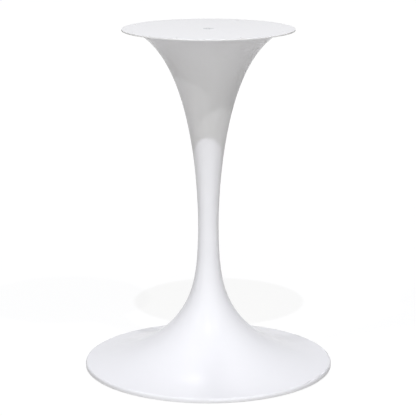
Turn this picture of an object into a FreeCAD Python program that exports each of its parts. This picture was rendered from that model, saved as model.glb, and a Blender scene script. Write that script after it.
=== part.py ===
import FreeCAD, Part
import math
import os

# All lengths are in millimetres. Origin on the floor at the column's axis, +Z up.

# Whole object
overall_height = 725.0
floor_gap = 2.0

# Top plate
plate_diameter = 360.0
plate_thickness = 3.0
plate_edge_round = 0.6
fixing_hole_count = 8
fixing_hole_diameter = 6.0

# Pedestal casting, outside
foot_diameter = 528.0
foot_rim_height = 9.8
foot_edge_round = 4.5
foot_under_round = 1.0
foot_slope_deg = 5.2
waist_diameter = 43.4
waist_height = 306.0
trumpet_diameter = 298.0
trumpet_lip_height = 3.0
trumpet_slope_deg = 31.0

# Pedestal casting, share of the run or rise at which each profile pole stands
foot_reach = 0.827
foot_knee_out = 0.147
foot_knee_up = 0.496
foot_neck_pull = 0.621
trumpet_neck_pull = 0.278
trumpet_knee_out = 0.141
trumpet_knee_up = 0.633
trumpet_reach = 0.680

# Pedestal casting, inside
foot_wall = 6.0
rim_land_width = 20.0
trumpet_wall = 5.0
seat_width = 10.0
neck_bottom_height = 150.0
neck_top_height = 430.0
neck_bore_diameter = 18.0
foot_core_round = 6.0
trumpet_core_round = 8.0

# Tie bolt and what it clamps
bolt_diameter = 12.0
bolt_head_diameter = 24.0
bolt_head_edge = 0.4
bolt_head_sink = 0.3
bolt_end_chamfer = 1.0
bolt_end_length = 4.0
socket_width = 8.0
socket_depth = 5.0
clamp_washer_diameter = 37.0
clamp_washer_thickness = 3.0
spring_washer_section = 3.5
spring_washer_thickness = 2.5
spring_washer_slit = 2.0
spring_washer_slit_deg = 30.0
nut_width = 19.0
nut_height = 10.0
nut_face_share = 0.95
nut_chamfer_deg = 30.0
thread_clearance = 0.05
washer_clearance = 0.5

# Floor glides
glide_count = 8
glide_head_diameter = 10.0
glide_head_round = 0.8
glide_stem_diameter = 6.0
glide_stem_length = 4.0
glide_stem_chamfer = 0.6
glide_clearance = 0.05
glide_hole_spare = 0.5

# How far a cutter runs past the face it opens, and how close two heights count as one
cutter_spare = 1.0
same_height = 1e-6

# Sizes that follow
plate_radius = plate_diameter / 2
foot_radius = foot_diameter / 2
waist_radius = waist_diameter / 2
trumpet_radius = trumpet_diameter / 2
bolt_radius = bolt_diameter / 2
bolt_head_radius = bolt_head_diameter / 2
plate_seat_height = overall_height - plate_thickness
trumpet_edge_height = plate_seat_height - trumpet_lip_height
fixing_circle_radius = (plate_radius + trumpet_radius) / 2
glide_circle_radius = foot_radius - (foot_under_round + rim_land_width) / 2
axis_point = FreeCAD.Vector(0, 0, 0)
axis_direction = FreeCAD.Vector(0, 0, 1)


def at(r, z):
    return FreeCAD.Vector(r, 0, z)


def line(a, b):
    return Part.LineSegment(at(*a), at(*b)).toShape()


def arc(centre, radius, start_deg, middle_deg, end_deg):
    points = []
    for angle in (start_deg, middle_deg, end_deg):
        turn = math.radians(angle)
        points.append(at(centre[0] + radius * math.cos(turn), centre[1] + radius * math.sin(turn)))
    return Part.Arc(*points).toShape()


def turned(edges):
    face = Part.Face(Part.Wire(edges))
    return face.revolve(axis_point, axis_direction, 360)


def turned_polygon(points):
    edges = []
    for i in range(len(points)):
        edges.append(line(points[i], points[(i + 1) % len(points)]))
    return turned(edges)


def cylinder(radius, low, high, x=0.0, y=0.0):
    return Part.makeCylinder(radius, high - low, FreeCAD.Vector(x, y, low))


def hexagon(width, low, high):
    corner = width / math.sqrt(3)
    points = []
    for i in range(7):
        turn = math.radians(60 * i)
        points.append(FreeCAD.Vector(corner * math.cos(turn), corner * math.sin(turn), low))
    return Part.Face(Part.makePolygon(points)).extrude(FreeCAD.Vector(0, 0, high - low))


def profile_curve(points):
    curve = Part.BezierCurve()
    curve.setPoles([at(*p) for p in points])
    return curve


def inside_of(curve, wall, samples=17):
    points = []
    for i in range(samples):
        t = i / (samples - 1)
        point = curve.value(t)
        run = curve.tangent(t)[0]
        points.append(at(point.x - wall * run.z, point.z + wall * run.x))
    inner = Part.BSplineCurve()
    inner.interpolate(points)
    return inner


def rounded_ring(solid, height, radius):
    rings = []
    for edge in solid.Edges:
        box = edge.BoundBox
        level = abs(box.ZMin - height) < same_height and abs(box.ZMax - height) < same_height
        if level and len(edge.Vertexes) == 1:
            rings.append(edge)
    return solid.makeFillet(radius, rings)


def around(count, radius, first_deg=0.0):
    places = []
    for i in range(count):
        turn = math.radians(first_deg + 360.0 * i / count)
        places.append((radius * math.cos(turn), radius * math.sin(turn)))
    return places


# Outside curves of the casting
foot_slope = math.radians(foot_slope_deg)
trumpet_slope = math.radians(trumpet_slope_deg)
rim_top = floor_gap + foot_rim_height
rim_centre = (foot_radius - foot_edge_round, rim_top - foot_edge_round * math.cos(foot_slope))
foot_start = (rim_centre[0] + foot_edge_round * math.sin(foot_slope), rim_top)
foot_run = foot_start[0] - waist_radius
foot_rise = waist_height - rim_top
trumpet_run = trumpet_radius - waist_radius
trumpet_rise = trumpet_edge_height - waist_height
foot_curve = profile_curve([
    foot_start,
    (foot_start[0] - foot_reach * foot_run * math.cos(foot_slope),
     foot_start[1] + foot_reach * foot_run * math.sin(foot_slope)),
    (waist_radius + foot_knee_out * foot_run, rim_top + foot_knee_up * foot_rise),
    (waist_radius, waist_height - foot_neck_pull * foot_rise),
    (waist_radius, waist_height),
])
trumpet_curve = profile_curve([
    (waist_radius, waist_height),
    (waist_radius, waist_height + trumpet_neck_pull * trumpet_rise),
    (waist_radius + trumpet_knee_out * trumpet_run, waist_height + trumpet_knee_up * trumpet_rise),
    (trumpet_radius - trumpet_reach * trumpet_run * math.cos(trumpet_slope),
     trumpet_edge_height - trumpet_reach * trumpet_run * math.sin(trumpet_slope)),
    (trumpet_radius, trumpet_edge_height),
])

# Pedestal: turned outside, cored from below and from above, bored neck, glide holes
under_centre = (foot_radius - foot_under_round, floor_gap + foot_under_round)
pedestal = turned([
    line((0, floor_gap), (under_centre[0], floor_gap)),
    arc(under_centre, foot_under_round, -90, -45, 0),
    line((foot_radius, under_centre[1]), (foot_radius, rim_centre[1])),
    arc(rim_centre, foot_edge_round, 0, 45, 90 - foot_slope_deg),
    foot_curve.toShape(),
    trumpet_curve.toShape(),
    line((trumpet_radius, trumpet_edge_height), (trumpet_radius, plate_seat_height)),
    line((trumpet_radius, plate_seat_height), (0, plate_seat_height)),
    line((0, plate_seat_height), (0, floor_gap)),
])
foot_inside = inside_of(foot_curve, foot_wall)
foot_mouth = foot_inside.value(foot_inside.FirstParameter)
foot_crown = foot_inside.value(foot_inside.LastParameter)
foot_core = turned([
    foot_inside.toShape(),
    line((foot_crown.x, foot_crown.z), (0, foot_crown.z)),
    line((0, foot_crown.z), (0, -floor_gap)),
    line((0, -floor_gap), (foot_mouth.x, -floor_gap)),
    line((foot_mouth.x, -floor_gap), (foot_mouth.x, foot_mouth.z)),
])
foot_core = foot_core.common(cylinder(foot_radius - rim_land_width, -floor_gap, neck_bottom_height))
foot_core = rounded_ring(foot_core, neck_bottom_height, foot_core_round)
trumpet_inside = inside_of(trumpet_curve, trumpet_wall)
trumpet_root = trumpet_inside.value(trumpet_inside.FirstParameter)
trumpet_mouth = trumpet_inside.value(trumpet_inside.LastParameter)
above = overall_height + trumpet_wall
trumpet_core = turned([
    trumpet_inside.toShape(),
    line((trumpet_mouth.x, trumpet_mouth.z), (trumpet_mouth.x, above)),
    line((trumpet_mouth.x, above), (0, above)),
    line((0, above), (0, trumpet_root.z)),
    line((0, trumpet_root.z), (trumpet_root.x, trumpet_root.z)),
])
trumpet_core = trumpet_core.common(cylinder(trumpet_radius - seat_width, neck_top_height, above))
trumpet_core = rounded_ring(trumpet_core, neck_top_height, trumpet_core_round)
bore_cut_low = neck_bottom_height - cutter_spare
bore_cut_high = neck_top_height + cutter_spare
neck_bore = cylinder(neck_bore_diameter / 2, bore_cut_low, bore_cut_high)
glide_hole_top = floor_gap + glide_stem_length + glide_hole_spare
glide_hole_radius = glide_stem_diameter / 2 + glide_clearance
glide_places = around(glide_count, glide_circle_radius)
glide_holes = []
for x, y in glide_places:
    glide_holes.append(cylinder(glide_hole_radius, 0, glide_hole_top, x, y))
pedestal = pedestal.cut([foot_core, trumpet_core, neck_bore] + glide_holes)

# Top plate: a flat disc with a countersunk centre hole and a ring of screw holes
head_cone_top = bolt_head_radius + bolt_head_sink + bolt_head_edge
plate_cut_low = plate_seat_height - cutter_spare
plate_cut_high = overall_height + cutter_spare
top_plate = cylinder(plate_radius, plate_seat_height, overall_height)
top_plate = top_plate.makeFillet(plate_edge_round, [e for e in top_plate.Edges if e.Closed])
countersink = turned_polygon([
    (0, plate_cut_low),
    (head_cone_top - plate_thickness - cutter_spare, plate_cut_low),
    (head_cone_top + cutter_spare, plate_cut_high),
    (0, plate_cut_high),
])
fixing_holes = []
for x, y in around(fixing_hole_count, fixing_circle_radius, 180.0 / fixing_hole_count):
    fixing_holes.append(cylinder(fixing_hole_diameter / 2, plate_cut_low, plate_cut_high, x, y))
top_plate = top_plate.cut([countersink] + fixing_holes)

# Heights of the clamped stack under the neck
washer_bottom = neck_bottom_height - clamp_washer_thickness
spring_bottom = washer_bottom - spring_washer_thickness
nut_bottom = spring_bottom - nut_height
bolt_bottom = nut_bottom - bolt_end_length
bolt_top = overall_height - bolt_head_sink

# Tie bolt: flush head with a hexagon socket, long plain shank
head_bottom = bolt_top - bolt_head_edge - (bolt_head_radius - bolt_radius)
tie_bolt = turned_polygon([
    (0, bolt_bottom),
    (bolt_radius - bolt_end_chamfer, bolt_bottom),
    (bolt_radius, bolt_bottom + bolt_end_chamfer),
    (bolt_radius, head_bottom),
    (bolt_head_radius, bolt_top - bolt_head_edge),
    (bolt_head_radius, bolt_top),
    (0, bolt_top),
])
tie_bolt = tie_bolt.cut(hexagon(socket_width, bolt_top - socket_depth, bolt_top + cutter_spare))

# Washers
washer_inner = bolt_radius + washer_clearance
clamp_washer = cylinder(clamp_washer_diameter / 2, washer_bottom, neck_bottom_height)
washer_hole = cylinder(washer_inner, washer_bottom - cutter_spare, neck_bottom_height + cutter_spare)
clamp_washer = clamp_washer.cut(washer_hole)
spring_outer = washer_inner + spring_washer_section
spring_washer = cylinder(spring_outer, spring_bottom, washer_bottom)
slit = Part.makeBox(2 * spring_outer, spring_washer_slit, 4 * spring_washer_thickness)
slit.translate(FreeCAD.Vector(0, -spring_washer_slit / 2, -2 * spring_washer_thickness))
slit.rotate(axis_point, FreeCAD.Vector(1, 0, 0), spring_washer_slit_deg)
slit.translate(FreeCAD.Vector(0, 0, spring_bottom + spring_washer_thickness / 2))
spring_hole = cylinder(washer_inner, spring_bottom - cutter_spare, washer_bottom + cutter_spare)
spring_washer = spring_washer.cut([spring_hole, slit])

# Nut: hexagon with its corners turned off
nut_corner = nut_width / math.sqrt(3)
nut_face_radius = nut_face_share * nut_width / 2
nut_slope = (nut_corner - nut_face_radius) * math.tan(math.radians(nut_chamfer_deg))
nut_turned = turned_polygon([
    (0, nut_bottom),
    (nut_face_radius, nut_bottom),
    (nut_corner, nut_bottom + nut_slope),
    (nut_corner, spring_bottom - nut_slope),
    (nut_face_radius, spring_bottom),
    (0, spring_bottom),
])
clamp_nut = hexagon(nut_width, nut_bottom, spring_bottom).common(nut_turned)
nut_inner = bolt_radius + thread_clearance
nut_hole = cylinder(nut_inner, nut_bottom - cutter_spare, spring_bottom + cutter_spare)
clamp_nut = clamp_nut.cut(nut_hole)

# Floor glides: mushroom shapes pressed into the rim
glide_head_radius = glide_head_diameter / 2
glide_stem_radius = glide_stem_diameter / 2
glide_stem_top = floor_gap + glide_stem_length
glide = turned([
    line((0, 0), (glide_head_radius - glide_head_round, 0)),
    arc((glide_head_radius - glide_head_round, glide_head_round), glide_head_round, -90, -45, 0),
    line((glide_head_radius, glide_head_round), (glide_head_radius, floor_gap)),
    line((glide_head_radius, floor_gap), (glide_stem_radius, floor_gap)),
    line((glide_stem_radius, floor_gap), (glide_stem_radius, glide_stem_top - glide_stem_chamfer)),
    line((glide_stem_radius, glide_stem_top - glide_stem_chamfer),
         (glide_stem_radius - glide_stem_chamfer, glide_stem_top)),
    line((glide_stem_radius - glide_stem_chamfer, glide_stem_top), (0, glide_stem_top)),
    line((0, glide_stem_top), (0, 0)),
])
glides = []
for x, y in glide_places:
    placed = glide.copy()
    placed.translate(FreeCAD.Vector(x, y, 0))
    glides.append(placed)
floor_glides = Part.makeCompound(glides)

pieces = {
    "pedestal": pedestal,
    "top_plate": top_plate,
    "tie_bolt": tie_bolt,
    "clamp_washer": clamp_washer,
    "spring_washer": spring_washer,
    "clamp_nut": clamp_nut,
    "floor_glides": floor_glides,
}
os.makedirs("parts", exist_ok=True)
for name, shape in pieces.items():
    shape.exportStep(os.path.join("parts", name + ".step"))
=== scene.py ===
import bpy
import math
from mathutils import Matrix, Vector


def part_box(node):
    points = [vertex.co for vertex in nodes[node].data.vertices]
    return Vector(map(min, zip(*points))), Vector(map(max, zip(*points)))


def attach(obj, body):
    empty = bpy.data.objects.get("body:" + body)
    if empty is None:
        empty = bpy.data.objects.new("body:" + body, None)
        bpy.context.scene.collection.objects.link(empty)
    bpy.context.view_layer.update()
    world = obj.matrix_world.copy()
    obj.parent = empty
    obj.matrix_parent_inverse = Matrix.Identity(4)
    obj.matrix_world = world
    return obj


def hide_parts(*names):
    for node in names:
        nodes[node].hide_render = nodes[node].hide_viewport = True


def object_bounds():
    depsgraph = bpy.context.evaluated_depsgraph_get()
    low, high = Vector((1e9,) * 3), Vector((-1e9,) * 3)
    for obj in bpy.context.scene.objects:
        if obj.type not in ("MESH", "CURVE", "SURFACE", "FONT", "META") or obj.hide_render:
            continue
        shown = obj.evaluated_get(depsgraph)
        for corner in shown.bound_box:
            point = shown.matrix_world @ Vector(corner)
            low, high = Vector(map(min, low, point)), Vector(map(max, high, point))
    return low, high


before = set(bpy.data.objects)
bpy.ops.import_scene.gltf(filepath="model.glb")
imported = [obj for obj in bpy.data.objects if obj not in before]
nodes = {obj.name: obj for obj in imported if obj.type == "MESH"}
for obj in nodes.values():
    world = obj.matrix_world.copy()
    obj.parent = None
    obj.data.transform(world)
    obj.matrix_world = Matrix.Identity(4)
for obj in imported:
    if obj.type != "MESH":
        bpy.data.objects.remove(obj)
cad_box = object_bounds()
scene = bpy.context.scene

# Camera, fitted to the photograph's perspective; lengths are in metres, lens and sensor in millimetres
CAMERA_PLACE = (-0.0008, -3.4784, 1.1458)
CAMERA_DOWN_DEG = 12.976
CAMERA_LENS = 145.89
SENSOR_WIDTH = 36.0
CLIP_END = 100.0

# Lamps, angles in degrees; a level is the brightness of a white matt surface that faces the lamp
WHITE = (1.0, 1.0, 1.0)
LAMPS = {
    "key": dict(azimuth=-3.0, elevation=56.05, level=0.63, size=0.07, colour=(0.88, 0.895, 1.0)),
    "left": dict(azimuth=-55.0, elevation=41.1, level=0.16, size=0.12, colour=WHITE),
    "right": dict(azimuth=35.0, elevation=49.7, level=0.23, size=0.12, colour=WHITE),
    "front": dict(azimuth=0.0, elevation=12.0, level=0.22, size=3.20, colour=(0.99, 1.0, 0.97)),
    "back": dict(azimuth=-175.5, elevation=51.0, level=0.12, size=0.90, colour=WHITE),
    "below": dict(azimuth=70.0, elevation=-50.0, level=0.40, size=1.60, colour=WHITE),
}
LAMP_DISTANCE = 6.0
LAMP_AIM_HEIGHT = 0.722
REAR_LEVEL = 0.15
REAR_ELEVATION_DEG = 3.0
REAR_SPREAD_DEG = 20.0

# World and floor; the seen floor's glow rises from near the object to far from it
WORLD_LEVEL = 0.12
WORLD_COLOUR = (0.97, 0.95, 0.88)
SEEN_LEVEL = 1.0
FLOOR_WIDTH = 30.0
FLOOR_MATT = (0.57, 0.56, 0.54)
FLOOR_SHADED = (0.16, 0.16, 0.16)
GLOW_NEAR = 0.87
GLOW_NEAR_REACH = 0.6
GLOW_FAR = 0.97
GLOW_FAR_REACH = 5.0

# Noise: scales in waves per metre, bump distances in metres, and the band of values that is spread out
NOISE_LOW = 0.3
NOISE_HIGH = 0.7

# Paint of the casting and of the plate
CASTING_PAINT = dict(pale=(0.866, 0.864, 0.873), deep=(0.852, 0.850, 0.859), roughness=0.20, specular=0.035)
PLATE_PAINT = dict(pale=(0.836, 0.832, 0.819), deep=(0.823, 0.819, 0.806), roughness=0.46, specular=0.008)
PAINT_CLOUD = dict(scale=5.0, detail=3.0)
PAINT_SMEAR = dict(scale=38.0, detail=3.0)
PAINT_SMOOTHER = 0.03
PAINT_ROUGHER = 0.04
PAINT_PEEL = dict(scale=620.0, detail=1.0)
PAINT_BUMP = dict(strength=0.10, distance=0.00012)

# Cast surface inside the foot: below this height, where the surface faces down
CAST_TOP = 0.152
CAST_FACING = -0.02
CAST_COLOUR = (0.70, 0.70, 0.69)
CAST_ROUGHER = 0.22
CAST_GRAIN = dict(scale=160.0, detail=4.0, roughness=0.65)
CAST_BUMP = dict(strength=0.55, distance=0.0006)

# Zinc plating
ZINC_DARK = (0.50, 0.51, 0.53)
ZINC_PALE = (0.60, 0.61, 0.62)
ZINC_CLOUD = dict(scale=140.0, detail=3.0)
ZINC_SMEAR = dict(scale=420.0, detail=2.0)
ZINC_SMOOTHEST = 0.30
ZINC_ROUGHEST = 0.44
ZINC_GRAIN = dict(scale=1500.0, detail=1.0)
ZINC_BUMP = dict(strength=0.15, distance=0.0001)

# Natural nylon
NYLON_DARK = (0.74, 0.74, 0.71)
NYLON_PALE = (0.82, 0.82, 0.79)
NYLON_CLOUD = dict(scale=220.0, detail=2.0)
NYLON_SMEAR = dict(scale=700.0, detail=2.0)
NYLON_SMOOTHEST = 0.45
NYLON_ROUGHEST = 0.60
NYLON_GRAIN = dict(scale=1600.0, detail=1.0)
NYLON_BUMP = dict(strength=0.2, distance=0.0001)

# Tie bolt, in metres; crest and root are shares of half a turn of the thread
BOLT_RADIUS = 0.006
BOLT_HEAD_RADIUS = 0.012
BOLT_HEAD_EDGE = 0.0004
BOLT_END_CHAMFER = 0.001
BOLT_SIDES = 48
SOCKET_WIDTH = 0.008
SOCKET_DEPTH = 0.005
SOCKET_SIDES = 6
THREAD_PITCH = 0.00175
THREAD_DEPTH = 0.00095
THREAD_LENGTH = 0.030
THREAD_RUN_OUT = 0.0035
THREAD_CREST = 0.875
THREAD_ROOT = 0.25
ROWS_PER_TURN = 12
SHARP_DEG = 50.0


# Shader helpers
def new_material(name):
    mat = bpy.data.materials.new(name)
    mat.use_nodes = True
    mat.node_tree.nodes.clear()
    return mat, mat.node_tree


def add(tree, kind, **values):
    node = tree.nodes.new(kind)
    for key, value in values.items():
        setattr(node, key, value)
    return node


def noise(tree, place, scale, detail, roughness=0.5):
    node = add(tree, "ShaderNodeTexNoise")
    node.inputs["Scale"].default_value = scale
    node.inputs["Detail"].default_value = detail
    node.inputs["Roughness"].default_value = roughness
    tree.links.new(place, node.inputs["Vector"])
    return node.outputs["Fac"]


def remap(tree, value, low, high, to_low, to_high):
    node = add(tree, "ShaderNodeMapRange")
    node.inputs["From Min"].default_value = low
    node.inputs["From Max"].default_value = high
    node.inputs["To Min"].default_value = to_low
    node.inputs["To Max"].default_value = to_high
    tree.links.new(value, node.inputs["Value"])
    return node.outputs["Result"]


def spread(tree, value, to_low, to_high):
    return remap(tree, value, NOISE_LOW, NOISE_HIGH, to_low, to_high)


def maths(tree, operation, a, b):
    node = add(tree, "ShaderNodeMath", operation=operation)
    for slot, value in ((0, a), (1, b)):
        if isinstance(value, (int, float)):
            node.inputs[slot].default_value = value
        else:
            tree.links.new(value, node.inputs[slot])
    return node.outputs["Value"]


def height_of(tree, vector):
    node = add(tree, "ShaderNodeSeparateXYZ")
    tree.links.new(vector, node.inputs["Vector"])
    return node.outputs["Z"]


def mix_colour(tree, factor, a, b):
    node = add(tree, "ShaderNodeMix", data_type="RGBA")
    tree.links.new(factor, node.inputs["Factor"])
    colours = [s for s in node.inputs if s.type == "RGBA"]
    for socket, value in zip(colours, (a, b)):
        if isinstance(value, tuple):
            socket.default_value = (*value, 1.0)
        else:
            tree.links.new(value, socket)
    return [s for s in node.outputs if s.type == "RGBA"][0]


def bump(tree, height, strength, distance, normal=None):
    node = add(tree, "ShaderNodeBump")
    node.inputs["Strength"].default_value = strength
    node.inputs["Distance"].default_value = distance
    tree.links.new(height, node.inputs["Height"])
    if normal is not None:
        tree.links.new(normal, node.inputs["Normal"])
    return node.outputs["Normal"]


def coloured(tree, kind, colour):
    node = add(tree, kind)
    node.inputs["Color"].default_value = (*colour, 1.0)
    return node


def mix_shader(tree, factor, a, b):
    node = add(tree, "ShaderNodeMixShader")
    tree.links.new(factor, node.inputs["Fac"])
    tree.links.new(a, node.inputs[1])
    tree.links.new(b, node.inputs[2])
    return node.outputs["Shader"]


def put_out(tree, kind, shader):
    out = add(tree, kind)
    tree.links.new(shader, out.inputs["Surface"])


def principled(tree, **values):
    shader = add(tree, "ShaderNodeBsdfPrincipled")
    for name, value in values.items():
        socket = shader.inputs[name.replace("_", " ")]
        if isinstance(value, (int, float)):
            socket.default_value = value
        else:
            tree.links.new(value, socket)
    put_out(tree, "ShaderNodeOutputMaterial", shader.outputs["BSDF"])


# One for rays that show the floor or the world, also in metal; nought for rays that carry light
def seen_rays(tree):
    path = add(tree, "ShaderNodeLightPath")
    seen = maths(tree, "MAXIMUM", path.outputs["Is Camera Ray"], path.outputs["Is Glossy Ray"])
    return maths(tree, "MAXIMUM", seen, path.outputs["Is Transmission Ray"])


# Powder coat: white paint with fine orange peel; the cast inside of the foot is rougher and greyer
def powder_coat(name, pale, deep, roughness, specular, cast_top=None):
    mat, tree = new_material(name)
    coords = add(tree, "ShaderNodeTexCoord")
    place = coords.outputs["Object"]
    cloud = spread(tree, noise(tree, place, **PAINT_CLOUD), 0.0, 1.0)
    colour = mix_colour(tree, cloud, pale, deep)
    smear = noise(tree, place, **PAINT_SMEAR)
    rough = spread(tree, smear, roughness - PAINT_SMOOTHER, roughness + PAINT_ROUGHER)
    normal = bump(tree, noise(tree, place, **PAINT_PEEL), **PAINT_BUMP)
    if cast_top is not None:
        low = maths(tree, "LESS_THAN", height_of(tree, place), cast_top)
        under = maths(tree, "LESS_THAN", height_of(tree, coords.outputs["Normal"]), CAST_FACING)
        inside = maths(tree, "MULTIPLY", low, under)
        colour = mix_colour(tree, inside, colour, CAST_COLOUR)
        rough = maths(tree, "ADD", rough, maths(tree, "MULTIPLY", inside, CAST_ROUGHER))
        grain = maths(tree, "MULTIPLY", noise(tree, place, **CAST_GRAIN), inside)
        normal = bump(tree, grain, **CAST_BUMP, normal=normal)
    principled(tree, Base_Color=colour, Roughness=rough, Normal=normal, Specular_IOR_Level=specular)
    return mat


# Zinc plated steel for the fasteners
def zinc(name):
    mat, tree = new_material(name)
    place = add(tree, "ShaderNodeTexCoord").outputs["Object"]
    cloud = spread(tree, noise(tree, place, **ZINC_CLOUD), 0.0, 1.0)
    colour = mix_colour(tree, cloud, ZINC_DARK, ZINC_PALE)
    rough = spread(tree, noise(tree, place, **ZINC_SMEAR), ZINC_SMOOTHEST, ZINC_ROUGHEST)
    normal = bump(tree, noise(tree, place, **ZINC_GRAIN), **ZINC_BUMP)
    principled(tree, Base_Color=colour, Metallic=1.0, Roughness=rough, Normal=normal)
    return mat


# Natural nylon for the glides
def nylon(name):
    mat, tree = new_material(name)
    place = add(tree, "ShaderNodeTexCoord").outputs["Object"]
    colour = mix_colour(tree, noise(tree, place, **NYLON_CLOUD), NYLON_DARK, NYLON_PALE)
    rough = spread(tree, noise(tree, place, **NYLON_SMEAR), NYLON_SMOOTHEST, NYLON_ROUGHEST)
    normal = bump(tree, noise(tree, place, **NYLON_GRAIN), **NYLON_BUMP)
    principled(tree, Base_Color=colour, Roughness=rough, Normal=normal)
    return mat


# Pale floor: where it is seen it is white and still takes the object's shadow
# It is clear from below, and within the clear radius it lets light up, so that the foot's underside shows
def pale_floor(name, clear_radius):
    mat, tree = new_material(name)
    seen = seen_rays(tree)
    length = add(tree, "ShaderNodeVectorMath", operation="LENGTH")
    tree.links.new(add(tree, "ShaderNodeTexCoord").outputs["Object"], length.inputs[0])
    reach = length.outputs["Value"]
    matt = coloured(tree, "ShaderNodeBsdfDiffuse", FLOOR_MATT)
    shaded = coloured(tree, "ShaderNodeBsdfDiffuse", FLOOR_SHADED)
    glow = coloured(tree, "ShaderNodeEmission", WHITE)
    strength = remap(tree, reach, GLOW_NEAR_REACH, GLOW_FAR_REACH, GLOW_NEAR, GLOW_FAR)
    tree.links.new(strength, glow.inputs["Strength"])
    white = add(tree, "ShaderNodeAddShader")
    tree.links.new(shaded.outputs["BSDF"], white.inputs[0])
    tree.links.new(glow.outputs["Emission"], white.inputs[1])
    closed = mix_shader(tree, seen, matt.outputs["BSDF"], white.outputs["Shader"])
    below = add(tree, "ShaderNodeNewGeometry").outputs["Backfacing"]
    under_foot = maths(tree, "LESS_THAN", reach, clear_radius)
    unseen = maths(tree, "SUBTRACT", 1.0, seen)
    lets_light = maths(tree, "MULTIPLY", under_foot, unseen)
    is_open = maths(tree, "MAXIMUM", below, lets_light)
    clear = add(tree, "ShaderNodeBsdfTransparent")
    surface = mix_shader(tree, is_open, closed, clear.outputs["BSDF"])
    put_out(tree, "ShaderNodeOutputMaterial", surface)
    return mat


# Materials of the solids
def dress(node, mat):
    mesh = nodes[node].data
    mesh.materials.clear()
    mesh.materials.append(mat)


dress("pedestal", powder_coat("powder_coat_casting", **CASTING_PAINT, cast_top=CAST_TOP))
dress("top_plate", powder_coat("powder_coat_plate", **PLATE_PAINT))
zinc_steel = zinc("zinc_steel")
for fastener in ("clamp_washer", "spring_washer", "clamp_nut"):
    dress(fastener, zinc_steel)
dress("floor_glides", nylon("glide_nylon"))

# Tie bolt: the solid's own form, with its thread cut as real turns on the lower end
bolt_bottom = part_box("tie_bolt")[0][2]
bolt_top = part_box("tie_bolt")[1][2]
turns = [2 * math.pi * i / BOLT_SIDES for i in range(BOLT_SIDES)]


def socket_radius(turn):
    side = 2 * math.pi / SOCKET_SIDES
    from_middle = turn % side - side / 2
    return SOCKET_WIDTH / 2 / math.cos(from_middle)


def thread_radius(turn, z):
    phase = (z / THREAD_PITCH - turn / (2 * math.pi)) % 1.0
    from_root = abs(2 * phase - 1)
    cut = (THREAD_CREST - from_root) / (THREAD_CREST - THREAD_ROOT)
    cut = min(max(cut, 0.0), 1.0)
    run_out = min((bolt_bottom + THREAD_LENGTH - z) / THREAD_RUN_OUT, 1.0)
    chamfer = BOLT_RADIUS - BOLT_END_CHAMFER + z - bolt_bottom
    return min(BOLT_RADIUS - THREAD_DEPTH * cut * run_out, chamfer)


def ring(radii, z):
    return [(radius * math.cos(turn), radius * math.sin(turn), z) for radius, turn in zip(radii, turns)]


shank = [BOLT_RADIUS] * BOLT_SIDES
head = [BOLT_HEAD_RADIUS] * BOLT_SIDES
socket = [socket_radius(turn) for turn in turns]
head_edge = bolt_top - BOLT_HEAD_EDGE
head_bottom = head_edge - (BOLT_HEAD_RADIUS - BOLT_RADIUS)
thread_rows = round(THREAD_LENGTH / THREAD_PITCH * ROWS_PER_TURN)
rings = []
for row in range(thread_rows + 1):
    z = bolt_bottom + THREAD_LENGTH * row / thread_rows
    rings.append(ring([thread_radius(turn, z) for turn in turns], z))
rings.append(ring(shank, head_bottom))
rings.append(ring(head, head_edge))
rings.append(ring(head, bolt_top))
rings.append(ring(socket, bolt_top))
rings.append(ring(socket, bolt_top - SOCKET_DEPTH))
points = [point for one in rings for point in one]
faces = [tuple(reversed(range(BOLT_SIDES)))]
for row in range(len(rings) - 1):
    for i in range(BOLT_SIDES):
        low = row * BOLT_SIDES + i
        next_low = row * BOLT_SIDES + (i + 1) % BOLT_SIDES
        faces.append((low, next_low, next_low + BOLT_SIDES, low + BOLT_SIDES))
faces.append(tuple(range(len(points) - BOLT_SIDES, len(points))))
bolt_mesh = bpy.data.meshes.new("tie_bolt_threaded")
bolt_mesh.from_pydata(points, [], faces)
bolt_mesh.shade_smooth()
bolt_mesh.set_sharp_from_angle(angle=math.radians(SHARP_DEG))
bolt_mesh.materials.append(zinc_steel)
bolt = bpy.data.objects.new("tie_bolt_threaded", bolt_mesh)
scene.collection.objects.link(bolt)
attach(bolt, "root")
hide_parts("tie_bolt")

# Floor
half = FLOOR_WIDTH / 2
corners = [(-half, -half, 0), (half, -half, 0), (half, half, 0), (-half, half, 0)]
floor_mesh = bpy.data.meshes.new("floor")
floor_mesh.from_pydata(corners, [], [(0, 1, 2, 3)])
floor_mesh.materials.append(pale_floor("pale_floor", clear_radius=cad_box[1][0]))
floor = bpy.data.objects.new("floor", floor_mesh)
scene.collection.objects.link(floor)

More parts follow.
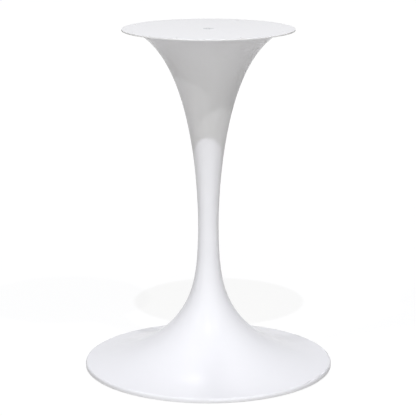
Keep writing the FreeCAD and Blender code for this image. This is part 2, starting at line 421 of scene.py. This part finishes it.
# World: an even surround for light, white where it is seen
world = bpy.data.worlds.new("surround")
scene.world = world
world.use_nodes = True
sky = world.node_tree
sky.nodes.clear()
soft = coloured(sky, "ShaderNodeBackground", WORLD_COLOUR)
soft.inputs["Strength"].default_value = WORLD_LEVEL
plain = coloured(sky, "ShaderNodeBackground", WHITE)
plain.inputs["Strength"].default_value = SEEN_LEVEL
both = mix_shader(sky, seen_rays(sky), soft.outputs["Background"], plain.outputs["Background"])
put_out(sky, "ShaderNodeOutputWorld", both)


# Lamps stand round the object, aimed at the plate
def lamp(name, azimuth, elevation, level, size, colour):
    turn = math.radians(azimuth)
    rise = math.radians(elevation)
    across = math.cos(rise)
    away = Vector((math.sin(turn) * across, -math.cos(turn) * across, math.sin(rise)))
    light = bpy.data.lights.new(name, "AREA")
    light.shape = "DISK"
    light.size = size
    light.color = colour
    light.energy = level * (math.pi * LAMP_DISTANCE) ** 2
    stand = bpy.data.objects.new(name, light)
    stand.location = Vector((0, 0, LAMP_AIM_HEIGHT)) + away * LAMP_DISTANCE
    stand.rotation_mode = "QUATERNION"
    stand.rotation_quaternion = (-away).to_track_quat("-Z", "Y")
    scene.collection.objects.link(stand)


for name, values in LAMPS.items():
    lamp(name, **values)

# Rear fill: soft parallel light from behind, low over the floor; it is not mirrored in the paint
fill = bpy.data.lights.new("rear", "SUN")
fill.energy = REAR_LEVEL * math.pi
fill.angle = math.radians(REAR_SPREAD_DEG)
rear = bpy.data.objects.new("rear", fill)
rear.rotation_euler = (math.radians(REAR_ELEVATION_DEG - 90.0), 0.0, 0.0)
rear.visible_glossy = False
scene.collection.objects.link(rear)

# Camera and view
cam = bpy.data.cameras.new("camera")
cam.sensor_width = SENSOR_WIDTH
cam.lens = CAMERA_LENS
cam.clip_end = CLIP_END
camera = bpy.data.objects.new("camera", cam)
camera.location = CAMERA_PLACE
camera.rotation_euler = (math.radians(90.0 - CAMERA_DOWN_DEG), 0.0, 0.0)
scene.collection.objects.link(camera)
scene.camera = camera
scene.view_settings.view_transform = "Standard"
